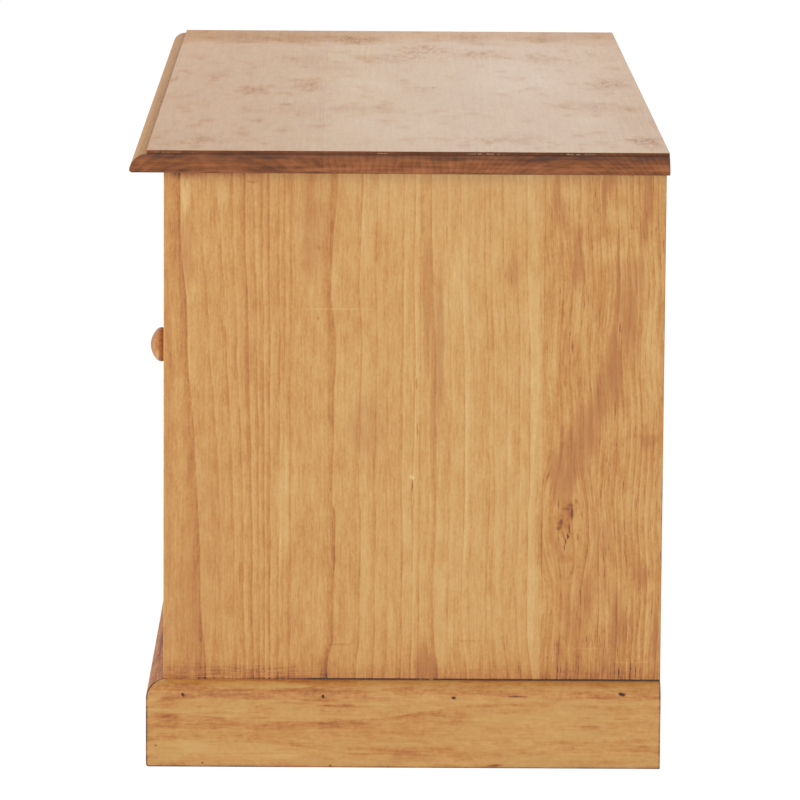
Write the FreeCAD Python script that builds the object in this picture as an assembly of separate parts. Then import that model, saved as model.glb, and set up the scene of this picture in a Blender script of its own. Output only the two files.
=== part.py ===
# Pine television unit: a cupboard at each end of an open bay, on a plinth, under a moulded top.
# X runs along the unit, -Y is the front, Z is up. The origin lies on the floor under the top's centre.

import FreeCAD, Part
import math
import os

V = FreeCAD.Vector

# Overall sizes and the top
top_length = 1170.0
top_depth = 450.0
overall_height = 524.5
top_thickness = 17.5
front_overhang = 28.0
side_overhang = 28.0
rear_overhang = 1.5

# Ovolo moulding, run with one cutter on the top and the plinth; the land is the flat left under its curve
quirk_width = 0.5
quirk_depth = 3.0
moulding_land = 0.8

# Carcass boards
board = 18.0
floor_top = 81.0
housing_depth = 6.0
housing_stop = 10.0
rail_height = 38.0
tenon_length = 10.0
tenon_shoulder = 6.0
end_space = 0.5
arris = 1.0

# Plinth
plinth_height = 73.5
plinth_thickness = 14.2
block_size = 25.0
block_length = 60.0
front_block_count = 5

# Back of matched boards
back_thickness = 8.0
back_rebate = 9.0
back_count = 9
tongue_thickness = 3.0
tongue_length = 5.0
back_seat = 0.2
back_vee = 1.2
cable_hole_radius = 25.0
cable_hole_rise = 72.0

# Shelves, and the bearers under those of the cupboards
shelf_underside = 262.0
centre_shelf_setback = 20.0
cupboard_shelf_setback = 30.0
shelf_end_gap = 0.8
bearer = 18.0
bearer_setback = 10.0

# Doors
door_gap = 2.0
door_setback = 3.5
door_thickness = 20.0
stile_width = 55.0
door_top_rail = 55.0
door_bottom_rail = 65.0
groove_width = 6.0
groove_depth = 8.0
door_tenon_length = 25.0
haunch = 12.0
panel_play = 1.0
panel_slack = 0.1
panel_margin = 2.0
panel_bevel = 22.0
panel_recess = 3.0

# Knobs, measured from the door's face
knob_radius = 15.5
knob_projection = 26.1
knob_dome_radius = 19.5
knob_widest = 16.4
knob_rim_end = 150.0
knob_dome_steps = 2
knob_rim_steps = 3
knob_base_radius = 8.0
knob_height = 311.6
spigot_radius = 4.0
spigot_length = 14.0
spigot_fit = 0.1

# Butt hinges
hinge_height = 40.0
hinge_inset = 45.0
leaf_width = 16.0
leaf_thickness = 1.5
leaf_fit = 0.2
knuckle_radius = 2.75
knuckle_length = 13.0
knuckle_gap = 0.2
hinge_proud = 0.6
hinge_clearance = 0.3
pin_radius = 1.4
pin_fit = 0.05

# Battens under the top
batten = 20.0

# Magnetic catches
catch_length = 44.0
catch_width = 16.0
catch_depth = 15.0
catch_top_space = 5.0
magnet_length = 24.0
magnet_width = 7.0
magnet_depth = 9.0
magnet_proud = 0.8
strike_gap = 0.3
strike_length = 32.0
strike_width = 10.0
strike_thickness = 1.2

# Main planes
ovolo_radius = top_thickness - quirk_depth - moulding_land
underside = overall_height - top_thickness
carcass_front = front_overhang - top_depth / 2
carcass_back = top_depth / 2 - rear_overhang
side_outer = top_length / 2 - side_overhang
side_inner = side_outer - board
back_face = carcass_back - back_thickness
floor_bottom = floor_top - board
rail_bottom = underside - rail_height
rail_back = carcass_front + board
rear_rail_front = back_face - board
divider_inner = (side_inner - board) / 3
divider_outer = divider_inner + board
plinth_front_face = carcass_front - plinth_thickness
plinth_side_face = side_outer + plinth_thickness
shelf_top = shelf_underside + board
cable_hole_heights = (floor_top + cable_hole_rise, shelf_top + cable_hole_rise)

# Door planes, right-hand door
door_hinge_edge = side_inner - door_gap
door_lock_edge = divider_outer + door_gap
door_bottom = floor_top + door_gap
door_top = rail_bottom - door_gap
door_face = carcass_front + door_setback
door_rear = door_face + door_thickness
hinge_x = side_inner - door_gap / 2
hinge_y = door_face - hinge_proud
leaf_start = hinge_y + knuckle_radius + hinge_clearance
leaf_end = leaf_start + leaf_width
hinge_bottoms = (door_bottom + hinge_inset, door_top - hinge_inset - hinge_height)
knob_x = door_lock_edge + stile_width / 2
catch_top = rail_bottom - catch_top_space
catch_middle = catch_top - catch_length / 2
strike_face = door_rear + strike_thickness
magnet_face = strike_face + strike_gap
catch_front = magnet_face + magnet_proud


def box(x0, x1, y0, y1, z0, z1):
    """Block between two corners."""
    return Part.makeBox(x1 - x0, y1 - y0, z1 - z0, V(x0, y0, z0))


def joined(shapes):
    """Shapes fused into one solid, with flush faces made one."""
    first, *rest = shapes
    return first.fuse(rest).removeSplitter()


def mirrored(shape):
    """The same piece for the other end of the unit."""
    return shape.mirror(V(0, 0, 0), V(1, 0, 0))


def both_ends(shapes):
    """Right-hand shapes with their left-hand copies."""
    return shapes + [mirrored(shape) for shape in shapes]


def eased(shape, radius, *planes):
    """Rounds the edges that lie on both of two planes, each pair given as (axis, place, axis, place)."""
    chosen = []
    for edge in shape.Edges:
        corners = [vertex.Point for vertex in edge.Vertexes]
        for axis_a, place_a, axis_b, place_b in planes:
            on_a = all(abs(corner[axis_a] - place_a) < 1e-6 for corner in corners)
            on_b = all(abs(corner[axis_b] - place_b) < 1e-6 for corner in corners)
            if on_a and on_b:
                chosen.append(edge)
    return shape.makeFillet(radius, chosen)


def turned(profile, at, direction):
    """Solid turned from (radius, height) points, with height 0 at a point and rising along a direction."""
    points = [V(radius, 0, height) for radius, height in profile]
    face = Part.Face(Part.makePolygon(points + points[:1]))
    solid = face.revolve(V(0, 0, 0), V(0, 0, 1), 360)
    solid.Placement = FreeCAD.Placement(at, FreeCAD.Rotation(V(0, 0, 1), direction))
    return solid


def ovolo_waste(outer, level, drop, x0, x1):
    """What the moulding cutter takes off an edge along X, whose face is at y = -outer and top at a level."""
    clear = 1.0
    curve_top = level - drop
    curve_bottom = curve_top - ovolo_radius
    curve_in = outer - ovolo_radius
    inner = curve_in - (quirk_width if drop else 0)
    half = ovolo_radius * math.sqrt(0.5)

    def at(out, up):
        return V(x0, -out, up)

    middle = at(curve_in + half, curve_bottom + half)
    curve = Part.Arc(at(curve_in, curve_top), middle, at(outer, curve_bottom))
    corners = [
        at(outer, curve_bottom),
        at(outer + clear, curve_bottom),
        at(outer + clear, level + clear),
        at(inner, level + clear),
    ]
    if drop:
        corners.append(at(inner, curve_top))
    corners.append(at(curve_in, curve_top))
    wire = Part.Wire([curve.toShape()] + Part.makePolygon(corners).Edges)
    return Part.Face(wire).extrude(V(x1 - x0, 0, 0))


def at_right_end(waste):
    """A front waste turned about the origin to lie along the right-hand end."""
    return waste.rotated(V(0, 0, 0), V(0, 0, 1), 90)


def moulded_top():
    """Top board with the ovolo along the front and both ends, mitred where the runs meet."""
    half_length = top_length / 2
    half_depth = top_depth / 2
    blank = box(-half_length, half_length, -half_depth, half_depth, underside, overall_height)
    front = ovolo_waste(half_depth, overall_height, quirk_depth, -half_length - 1, half_length + 1)
    end = at_right_end(
        ovolo_waste(half_length, overall_height, quirk_depth, -half_depth - 1, half_depth + 1)
    )
    return blank.cut([front, end, mirrored(end)])


def battens():
    """Battens along the sides, between the rails, under the top."""
    bar = box(side_inner - batten, side_inner, rail_back, rear_rail_front, underside - batten, underside)
    return both_ends([eased(bar, arris, (0, side_inner - batten, 2, underside - batten))])


def rail_tenon(front, extra=0.0):
    """Stub tenon at the right-hand end of a top rail; with extra it is the mortise."""
    return box(
        side_inner,
        side_inner + tenon_length + extra,
        front + tenon_shoulder,
        front + board - tenon_shoulder,
        rail_bottom + tenon_shoulder,
        underside - tenon_shoulder,
    )


def top_rail(front, eased_front):
    """Rail between the sides, close under the top."""
    bar = box(-side_inner, side_inner, front, front + board, rail_bottom, underside)
    if eased_front:
        bar = eased(bar, arris, (1, front, 2, rail_bottom))
    return joined([bar] + both_ends([rail_tenon(front)]))


def hinge_leaf(bottom, out, knuckles):
    """Leaf let into the side (out 1) or the door's edge (out -1), with the knuckles given as (low, high)."""
    near = hinge_x + out * door_gap / 2
    x0, x1 = sorted((near, near + out * leaf_thickness))
    pieces = [box(x0, x1, leaf_start, leaf_end, bottom, bottom + hinge_height)]
    for low, high in knuckles:
        pieces.append(box(x0, x1, hinge_y, leaf_start, low, high))
        pieces.append(Part.makeCylinder(knuckle_radius, high - low, V(hinge_x, hinge_y, low)))
    return joined(pieces)


def hinge_plate(bottom):
    """Leaf of the side, with the outer knuckles and the pin fast in them."""
    top = bottom + hinge_height
    knuckles = ((bottom, bottom + knuckle_length), (top - knuckle_length, top))
    pin = Part.makeCylinder(pin_radius, hinge_height, V(hinge_x, hinge_y, bottom))
    return joined([hinge_leaf(bottom, 1, knuckles), pin])


def hinge_flap(bottom):
    """Leaf of the door, whose one knuckle turns on the pin."""
    top = bottom + hinge_height
    knuckle = (bottom + knuckle_length + knuckle_gap, top - knuckle_length - knuckle_gap)
    bore = Part.makeCylinder(pin_radius + pin_fit, hinge_height, V(hinge_x, hinge_y, bottom))
    return hinge_leaf(bottom, -1, [knuckle]).cut(bore)


def hinge_recess(bottom, on_side):
    """Recess for a leaf and the room that the knuckles need, in the side or in the door's edge."""
    room = knuckle_radius + hinge_clearance
    low = bottom - leaf_fit
    high = bottom + hinge_height + leaf_fit
    if on_side:
        leaf = box(
            side_inner - 1,
            side_inner + leaf_thickness,
            leaf_start - leaf_fit,
            leaf_end + leaf_fit,
            low,
            high,
        )
        knuckles = box(side_inner - 1, hinge_x + room, carcass_front - 1, hinge_y + room, low, high)
        return [leaf, knuckles]
    leaf = box(
        door_hinge_edge - leaf_thickness,
        door_hinge_edge + 1,
        door_face - 1,
        leaf_end + leaf_fit,
        low,
        high,
    )
    knuckles = Part.makeCylinder(room, high - low, V(hinge_x, hinge_y, low))
    return [leaf, knuckles]


def front_block_centres():
    """Centres of the glue blocks, spread evenly from side to side."""
    last = side_inner - block_length / 2
    step = 2 * last / (front_block_count - 1)
    return [-last + index * step for index in range(front_block_count)]


def side():
    """Right-hand side, from the floor to the top."""
    panel = box(side_inner, side_outer, carcass_front, carcass_back, 0, underside)
    panel = eased(panel, arris, (0, side_outer, 1, carcass_front), (0, side_inner, 1, carcass_front))
    rebate_end = side_inner + back_rebate
    rebate = box(side_inner - 1, rebate_end, back_face, carcass_back + 1, floor_bottom, underside + 1)
    housing = box(
        side_inner - 1,
        side_inner + housing_depth,
        carcass_front + housing_stop,
        back_face,
        floor_bottom,
        floor_top,
    )
    cuts = [rebate, housing]
    cuts += [rail_tenon(front, end_space) for front in (carcass_front, rear_rail_front)]
    for bottom in hinge_bottoms:
        cuts += hinge_recess(bottom, True)
    return panel.cut(cuts)


def floor_panel():
    """Floor of the carcass, let into the sides, with housings for the dividers."""
    slab = box(-side_inner, side_inner, carcass_front, back_face, floor_bottom, floor_top)
    slab = eased(slab, arris, (1, carcass_front, 2, floor_top))
    inner_front = carcass_front + housing_stop
    tongue = box(
        side_inner, side_inner + housing_depth - end_space, inner_front, back_face, floor_bottom, floor_top
    )
    slab = joined([slab] + both_ends([tongue]))
    housing = box(
        divider_inner, divider_outer, inner_front, back_face + 1, floor_top - housing_depth, floor_top + 1
    )
    return slab.cut(both_ends([housing]))


def divider():
    """Right-hand divider, notched round both rails and let into the floor."""
    panel = box(divider_inner, divider_outer, carcass_front, back_face, floor_top, underside)
    panel = eased(panel, arris, (0, divider_inner, 1, carcass_front), (0, divider_outer, 1, carcass_front))
    tongue = box(
        divider_inner,
        divider_outer,
        carcass_front + housing_stop,
        back_face,
        floor_top - housing_depth + end_space,
        floor_top,
    )
    panel = joined([panel, tongue])
    shelf_front = carcass_front + centre_shelf_setback
    shelf_end = divider_inner + housing_depth
    cuts = [
        box(divider_inner - 1, divider_outer + 1, carcass_front - 1, rail_back, rail_bottom, underside + 1),
        box(divider_inner - 1, divider_outer + 1, rear_rail_front, back_face + 1, rail_bottom, underside + 1),
        box(divider_inner - 1, shelf_end, shelf_front, back_face + 1, shelf_underside, shelf_top),
    ]
    return panel.cut(cuts)


def centre_shelf():
    """Fixed shelf of the open bay, housed in both dividers."""
    front = carcass_front + centre_shelf_setback
    reach = divider_inner + housing_depth - end_space
    shelf = box(-reach, reach, front, back_face, shelf_underside, shelf_top)
    return eased(shelf, arris, (1, front, 2, shelf_top), (1, front, 2, shelf_underside))


def cupboard_shelf():
    """Loose shelf of the right-hand cupboard."""
    front = carcass_front + cupboard_shelf_setback
    shelf = box(
        divider_outer + shelf_end_gap,
        side_inner - shelf_end_gap,
        front,
        back_face - shelf_end_gap,
        shelf_underside,
        shelf_top,
    )
    return eased(shelf, arris, (1, front, 2, shelf_top), (1, front, 2, shelf_underside))


def shelf_bearers():
    """Bearers along both walls of each cupboard, under its shelf."""
    front = carcass_front + cupboard_shelf_setback + bearer_setback
    bearers = [
        box(start, start + bearer, front, back_face, shelf_underside - bearer, shelf_underside)
        for start in (divider_outer, side_inner - bearer)
    ]
    return both_ends(bearers)


def plinth_front():
    """Front plinth board, moulded along its top edge and mitred at both ends."""
    corners = [
        V(-plinth_side_face, plinth_front_face, 0),
        V(plinth_side_face, plinth_front_face, 0),
        V(side_outer, carcass_front, 0),
        V(-side_outer, carcass_front, 0),
    ]
    plank = Part.Face(Part.makePolygon(corners + corners[:1])).extrude(V(0, 0, plinth_height))
    waste = ovolo_waste(-plinth_front_face, plinth_height, 0, -plinth_side_face - 1, plinth_side_face + 1)
    return plank.cut(waste)


def plinth_side():
    """Right-hand plinth board, square at the back."""
    corners = [
        V(plinth_side_face, plinth_front_face, 0),
        V(plinth_side_face, carcass_back, 0),
        V(side_outer, carcass_back, 0),
        V(side_outer, carcass_front, 0),
    ]
    plank = Part.Face(Part.makePolygon(corners + corners[:1])).extrude(V(0, 0, plinth_height))
    waste = at_right_end(
        ovolo_waste(plinth_side_face, plinth_height, 0, plinth_front_face - 1, carcass_back + 1)
    )
    return plank.cut(waste)


def plinth_rear_rail():
    """Rail that closes the plinth at the back."""
    return box(-side_inner, side_inner, rear_rail_front, back_face, 0, floor_bottom)


def plinth_blocks():
    """Glue blocks behind the front plinth and in the rear corners."""
    front = [
        box(
            centre - block_length / 2,
            centre + block_length / 2,
            carcass_front,
            carcass_front + block_size,
            floor_bottom - block_size,
            floor_bottom,
        )
        for centre in front_block_centres()
    ]
    rear = box(
        side_inner - block_size, side_inner, rear_rail_front - block_size, rear_rail_front, 0, floor_bottom
    )
    return front + both_ends([rear])


def back_pitch():
    """Distance from joint to joint of the back boards."""
    return 2 * (side_inner + back_rebate) / back_count


def back_board(index):
    """Matched board: tongue on its right edge, groove in its left, and a vee along the joint inside."""
    left = -side_inner - back_rebate + index * back_pitch()
    right = left + back_pitch()
    first = index == 0
    last = index == back_count - 1
    x0 = left + back_seat
    x1 = right - (back_seat if last else 0)
    plank = box(x0, x1, back_face, carcass_back, floor_bottom, underside)
    tongue_y = back_face + (back_thickness - tongue_thickness) / 2
    if not last:
        tongue = box(x1, x1 + tongue_length, tongue_y, tongue_y + tongue_thickness, floor_bottom, underside)
        plank = joined([plank, tongue])
        plank = plank.cut(vee(x1, -1))
    if not first:
        groove = box(
            x0 - 1, x0 + tongue_length, tongue_y, tongue_y + tongue_thickness, floor_bottom - 1, underside + 1
        )
        plank = plank.cut(groove)
        plank = plank.cut(vee(x0, 1))
    if index == back_count // 2:
        depth = back_thickness + 2
        plank = plank.cut(
            [
                Part.makeCylinder(cable_hole_radius, depth, V(0, back_face - 1, z), V(0, 1, 0))
                for z in cable_hole_heights
            ]
        )
    return plank


def vee(x, inwards):
    """Bevel taken off the inside corner of a matched board."""
    corners = [
        V(x, back_face, floor_bottom - 1),
        V(x + inwards * back_vee, back_face, floor_bottom - 1),
        V(x, back_face + back_vee, floor_bottom - 1),
    ]
    return Part.Face(Part.makePolygon(corners + corners[:1])).extrude(V(0, 0, underside - floor_bottom + 2))


def door_stile(at_hinge):
    """Stile with a groove for the panel and a mortise for each rail."""
    if at_hinge:
        x0, x1 = door_hinge_edge - stile_width, door_hinge_edge
        inner, out = x0, 1
        outer = x1
    else:
        x0, x1 = door_lock_edge, door_lock_edge + stile_width
        inner, out = x1, -1
        outer = x0
    stile = box(x0, x1, door_face, door_rear, door_bottom, door_top)
    stile = eased(
        stile,
        arris,
        (0, outer, 1, door_face),
        (2, door_top, 1, door_face),
        (2, door_bottom, 1, door_face),
    )
    groove_y = door_face + (door_thickness - groove_width) / 2
    cuts = [slot(inner, out, groove_depth, groove_y, door_bottom - 1, door_top + 1)]
    for low, high in door_tenon_spans():
        cuts.append(slot(inner, out, door_tenon_length + end_space, groove_y, low, high))
    if at_hinge:
        for bottom in hinge_bottoms:
            cuts += hinge_recess(bottom, False)
    else:
        radius = spigot_radius + spigot_fit
        depth = spigot_length + end_space
        cuts.append(Part.makeCylinder(radius, depth, V(knob_x, door_face, knob_height), V(0, 1, 0)))
    return stile.cut(cuts)


def slot(inner, out, depth, y, low, high):
    """Slot of the groove's width, let into a stile's inner edge."""
    x0, x1 = sorted((inner - out, inner + out * depth))
    return box(x0, x1, y, y + groove_width, low, high)


def door_tenon_spans():
    """Lowest and highest point of the full tenons on the bottom and top rails."""
    return (
        (door_bottom + haunch, door_bottom + door_bottom_rail - groove_depth),
        (door_top - door_top_rail + groove_depth, door_top - haunch),
    )


def door_rail(at_top):
    """Rail with haunched tenons and a groove for the panel."""
    x0 = door_lock_edge + stile_width
    x1 = door_hinge_edge - stile_width
    groove_y = door_face + (door_thickness - groove_width) / 2
    if at_top:
        low, high = door_top - door_top_rail, door_top
        outer, groove = high, (low - 1, low + groove_depth)
        shoulder = (low + groove_depth, high)
        span = door_tenon_spans()[1]
    else:
        low, high = door_bottom, door_bottom + door_bottom_rail
        outer, groove = low, (high - groove_depth, high + 1)
        shoulder = (low, high - groove_depth)
        span = door_tenon_spans()[0]
    bar = box(x0, x1, door_face, door_rear, low, high)
    bar = eased(bar, arris, (2, outer, 1, door_face))
    bar = bar.cut(box(x0 - 1, x1 + 1, groove_y, groove_y + groove_width, *groove))
    short = groove_depth - end_space
    tenons = [
        box(x0 - short, x1 + short, groove_y, groove_y + groove_width, *shoulder),
        box(x0 - door_tenon_length, x1 + door_tenon_length, groove_y, groove_y + groove_width, *span),
    ]
    return joined([bar] + tenons)


def door_panel():
    """Fielded panel, free to move in its grooves."""
    grip = groove_depth - panel_play
    x0 = door_lock_edge + stile_width
    x1 = door_hinge_edge - stile_width
    z0 = door_bottom + door_bottom_rail
    z1 = door_top - door_top_rail
    groove_y = door_face + (door_thickness - groove_width) / 2
    front = groove_y + panel_slack
    plate = box(x0 - grip, x1 + grip, front, groove_y + groove_width - panel_slack, z0 - grip, z1 + grip)
    low, high = panel_margin, panel_margin + panel_bevel
    field = Part.makeWedge(
        x0 + high, door_face + panel_recess, z0 + high, z0 + low, x0 + low,
        x1 - high, front, z1 - high, z1 - low, x1 - low,
    )
    return joined([plate, field])


def along_arc(centre, radius, start, end, steps):
    """Points (radius, height) at even steps along an arc, with angles in radians from the knob's axis."""
    angles = [start + (end - start) * index / steps for index in range(steps + 1)]
    return [(centre[0] + radius * math.sin(angle), centre[1] + radius * math.cos(angle)) for angle in angles]


def knob():
    """Turned knob: domed front, rounded rim, tapered neck, and a spigot glued into the stile."""
    dome_centre = knob_projection - knob_dome_radius
    rise = knob_widest - dome_centre
    rim_radius = (knob_dome_radius**2 - knob_radius**2 - rise**2) / (2 * (knob_dome_radius - knob_radius))
    rim_inset = knob_radius - rim_radius
    lean = math.atan2(rim_inset, rise)
    dome = along_arc((0, dome_centre), knob_dome_radius, 0, lean, knob_dome_steps)
    rim = along_arc((rim_inset, knob_widest), rim_radius, lean, math.radians(knob_rim_end), knob_rim_steps)
    stem = [
        (knob_base_radius, 0),
        (spigot_radius, 0),
        (spigot_radius, -spigot_length),
        (0, -spigot_length),
    ]
    return turned(dome + rim[1:] + stem, V(knob_x, door_face, knob_height), V(0, -1, 0))


def catch_housing():
    """Housing of the magnetic catch, on the divider behind the lock stile."""
    body = box(
        divider_outer,
        divider_outer + catch_width,
        catch_front,
        catch_front + catch_depth,
        catch_top - catch_length,
        catch_top,
    )
    return body.cut(magnet())


def magnet():
    """Magnet that stands a little out of the housing's front."""
    middle = divider_outer + catch_width / 2
    return box(
        middle - magnet_width / 2,
        middle + magnet_width / 2,
        magnet_face,
        magnet_face + magnet_depth,
        catch_middle - magnet_length / 2,
        catch_middle + magnet_length / 2,
    )


def strike_plate():
    """Steel plate on the door that the magnet holds."""
    middle = divider_outer + catch_width / 2
    return box(
        middle - strike_width / 2,
        middle + strike_width / 2,
        door_rear,
        strike_face,
        catch_middle - strike_length / 2,
        catch_middle + strike_length / 2,
    )


def save(name, *shapes):
    """Writes one named piece, or a group of like pieces, as a STEP file."""
    solids = [solid for shape in shapes for solid in shape.Solids]
    piece = solids[0] if len(solids) == 1 else Part.makeCompound(solids)
    piece.exportStep(os.path.join("parts", name + ".step"))


def save_pair(name, *solids):
    """Writes a right-hand piece and its left-hand copy."""
    save(name.format("right"), *solids)
    save(name.format("left"), *[mirrored(solid) for solid in solids])


os.makedirs("parts", exist_ok=True)

save("top_panel", moulded_top())
save("top_battens", *battens())
save_pair("side_{}", side())
save_pair("divider_{}", divider())
save("floor_panel", floor_panel())
save("front_top_rail", top_rail(carcass_front, True))
save("rear_top_rail", top_rail(rear_rail_front, False))
save("plinth_front", plinth_front())
save_pair("plinth_{}", plinth_side())
save("plinth_rear_rail", plinth_rear_rail())
save("plinth_blocks", *plinth_blocks())
for board_index in range(back_count):
    save("back_board_{}".format(board_index + 1), back_board(board_index))
save("centre_shelf", centre_shelf())
save_pair("shelf_{}", cupboard_shelf())
save("shelf_bearers", *shelf_bearers())
save_pair("door_{}_hinge_stile", door_stile(True))
save_pair("door_{}_lock_stile", door_stile(False))
save_pair("door_{}_top_rail", door_rail(True))
save_pair("door_{}_bottom_rail", door_rail(False))
save_pair("door_{}_panel", door_panel())
save_pair("knob_{}", knob())
save_pair("hinge_plates_{}", *[hinge_plate(bottom) for bottom in hinge_bottoms])
save_pair("hinge_flaps_{}", *[hinge_flap(bottom) for bottom in hinge_bottoms])
save("catch_housings", *both_ends([catch_housing()]))
save("catch_magnets", *both_ends([magnet()]))
save_pair("strike_plate_{}", strike_plate())
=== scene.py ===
import math

import bmesh
import bpy
from mathutils import Matrix, Vector


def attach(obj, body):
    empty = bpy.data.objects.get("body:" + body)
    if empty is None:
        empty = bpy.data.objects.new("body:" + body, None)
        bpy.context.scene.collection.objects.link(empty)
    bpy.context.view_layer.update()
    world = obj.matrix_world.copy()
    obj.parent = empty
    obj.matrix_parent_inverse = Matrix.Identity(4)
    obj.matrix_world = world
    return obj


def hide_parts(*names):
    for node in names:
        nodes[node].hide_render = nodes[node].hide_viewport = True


# A low pine unit for a television: a moulded top, panelled doors on butt hinges, an open bay between
# them, a boarded back and a plinth planted round the foot. Meshes are in metres, and the places and
# sizes in the finishes are in millimetres.
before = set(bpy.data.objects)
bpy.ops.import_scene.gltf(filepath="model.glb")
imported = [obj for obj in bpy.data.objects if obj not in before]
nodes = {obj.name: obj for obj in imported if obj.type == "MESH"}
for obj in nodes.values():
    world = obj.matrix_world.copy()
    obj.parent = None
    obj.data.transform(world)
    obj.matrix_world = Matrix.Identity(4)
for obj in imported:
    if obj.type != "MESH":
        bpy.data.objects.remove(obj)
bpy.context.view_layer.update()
scene = bpy.context.scene
scene.view_settings.view_transform = "Standard"


# Camera: it stands off the right-hand end, a little above the top, and looks along the unit.
camera_data = bpy.data.cameras.new("camera")
camera_data.lens = 264.6
camera_data.sensor_width = 36
camera_data.clip_start = 0.1
camera_data.clip_end = 100
camera = bpy.data.objects.new("camera", camera_data)
scene.collection.objects.link(camera)
camera_yaw = 0.0074629
camera_pitch = 0.1503440
camera_roll = 0.0067929
camera_turn = Matrix.Rotation(math.pi / 2 - camera_yaw, 4, "Z")
camera_turn = camera_turn @ Matrix.Rotation(math.pi / 2 - camera_pitch, 4, "X")
camera_turn = camera_turn @ Matrix.Rotation(camera_roll, 4, "Z")
camera_place = (5.44238, -0.03477, 1.05324)
camera.matrix_world = Matrix.Translation(camera_place) @ camera_turn
scene.camera = camera


# Studio: a white room and four broad lamps, one for each side, light the unit evenly, and a white
# floor takes its shadow. The room and the floor stay white where they are seen directly or in the wax.
def linear(red, green, blue):
    """Colour of a finish as written for a screen, 0 to 255, turned to the light it gives back."""
    parts = [part / 255 for part in (red, green, blue)]
    return [p / 12.92 if p < 0.04045 else ((p + 0.055) / 1.055) ** 2.4 for p in parts] + [1.0]


class Tint:
    """A value, colour or direction in a finish. Sums and products of these add their own nodes."""

    def __init__(self, tree, socket=None):
        self.tree = tree
        self.socket = socket

    def node(self, kind, settings, sockets, out=0):
        """Adds a node, sets it up, fills its sockets and gives one of its outputs. Stops are those of a
        ramp. Corners and bends are a curve's points, with straight or smooth lines between them."""
        made = self.tree.nodes.new("ShaderNode" + kind)
        for name, value in settings.items():
            if name == "stops":
                ramp = made.color_ramp
                while len(ramp.elements) < len(value):
                    ramp.elements.new(1.0)
                for stop, (position, colour) in zip(ramp.elements, value):
                    stop.position = position
                    stop.color = colour
            elif name in ("corners", "bends"):
                curve = made.mapping.curves[0]
                curve.points[0].location = value[0]
                curve.points[1].location = value[-1]
                for point in value[1:-1]:
                    curve.points.new(*point)
                for point in curve.points:
                    point.handle_type = "VECTOR" if name == "corners" else "AUTO_CLAMPED"
                made.mapping.update()
            else:
                setattr(made, name, value)
        for key, value in sockets.items():
            if isinstance(value, Tint):
                self.tree.links.new(value.socket, made.inputs[key])
            else:
                made.inputs[key].default_value = value
        return Tint(self.tree, made.outputs[out])

    def sister(self, out):
        """Another output of the node that this one comes from."""
        return Tint(self.tree, self.socket.node.outputs[out])

    def feed(self, shader, name):
        """Links this to one of a shader's sockets."""
        self.tree.links.new(self.socket, shader.inputs[name])

    def maths(self, operation, *others):
        """A Math node on this value and others."""
        return self.node("Math", {"operation": operation}, dict(enumerate((self, *others))))

    def __add__(self, other):
        return self.maths("ADD", other)

    __radd__ = __add__

    def __sub__(self, other):
        return self.maths("SUBTRACT", other)

    def __rsub__(self, other):
        return self.node("Math", {"operation": "SUBTRACT"}, {0: other, 1: self})

    def __mul__(self, other):
        return self.maths("MULTIPLY", other)

    __rmul__ = __mul__

    def __truediv__(self, other):
        return self.maths("DIVIDE", other)


def seen_white(tree):
    """1 for the rays that should find the room and the floor plain white."""
    rays = Tint(tree).node("LightPath", {}, {}, "Is Camera Ray")
    return (rays + rays.sister("Is Glossy Ray") + rays.sister("Is Transmission Ray")).maths("MINIMUM", 1.0)


room = bpy.data.worlds.new("white room")
room.use_nodes = True
scene.world = room
room.node_tree.nodes.clear()
room_light = Tint(room.node_tree).node(
    "Background", {}, {"Color": (1.0, 0.985, 0.96, 1.0), "Strength": 0.38}
)
room_white = room_light.node("Background", {}, {"Color": (1.0, 1.0, 1.0, 1.0), "Strength": 1.0})
room_mix = room_light.node(
    "MixShader", {}, {0: seen_white(room.node_tree), 1: room_light, 2: room_white}
)
room_end = room_mix.tree.nodes.new("ShaderNodeOutputWorld")
room_mix.feed(room_end, "Surface")

bpy.ops.mesh.primitive_plane_add(size=16, location=(0.0, 0.0, 0.0))
floor = bpy.context.object
floor.name = "studio_floor"
floor_paint = bpy.data.materials.new("floor paint")
floor_paint.use_nodes = True
floor_paint.node_tree.nodes.clear()
floor_matt = Tint(floor_paint.node_tree).node("BsdfDiffuse", {}, {"Color": (0.85, 0.85, 0.85, 1.0)})
floor_white = floor_matt.node("Emission", {}, {"Color": (1.0, 1.0, 1.0, 1.0), "Strength": 1.07})
floor_whiteness = 0.92
floor_cover = seen_white(floor_paint.node_tree) * floor_whiteness
floor_mix = floor_matt.node("MixShader", {}, {0: floor_cover, 1: floor_matt, 2: floor_white})
floor_end = floor_mix.tree.nodes.new("ShaderNodeOutputMaterial")
floor_mix.feed(floor_end, "Surface")
floor.data.materials.append(floor_paint)

lamps = (
    ("right lamp", (4.2, -1.0, 1.05), 71),
    ("front lamp", (0.8, -4.2, 1.7), 68),
    ("left lamp", (-4.2, 0.8, 1.7), 68),
    ("back lamp", (-0.8, 4.2, 1.7), 68),
)
unit_middle = Vector((0.0, 0.0, 0.3))
for name, place, power in lamps:
    lamp_data = bpy.data.lights.new(name, "AREA")
    lamp_data.size = 2.4
    lamp_data.energy = power
    lamp = bpy.data.objects.new(name, lamp_data)
    scene.collection.objects.link(lamp)
    lamp.location = place
    lamp.rotation_euler = (unit_middle - Vector(place)).to_track_quat("-Z", "Y").to_euler()
    lamp.visible_camera = False
    lamp.visible_glossy = False


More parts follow.
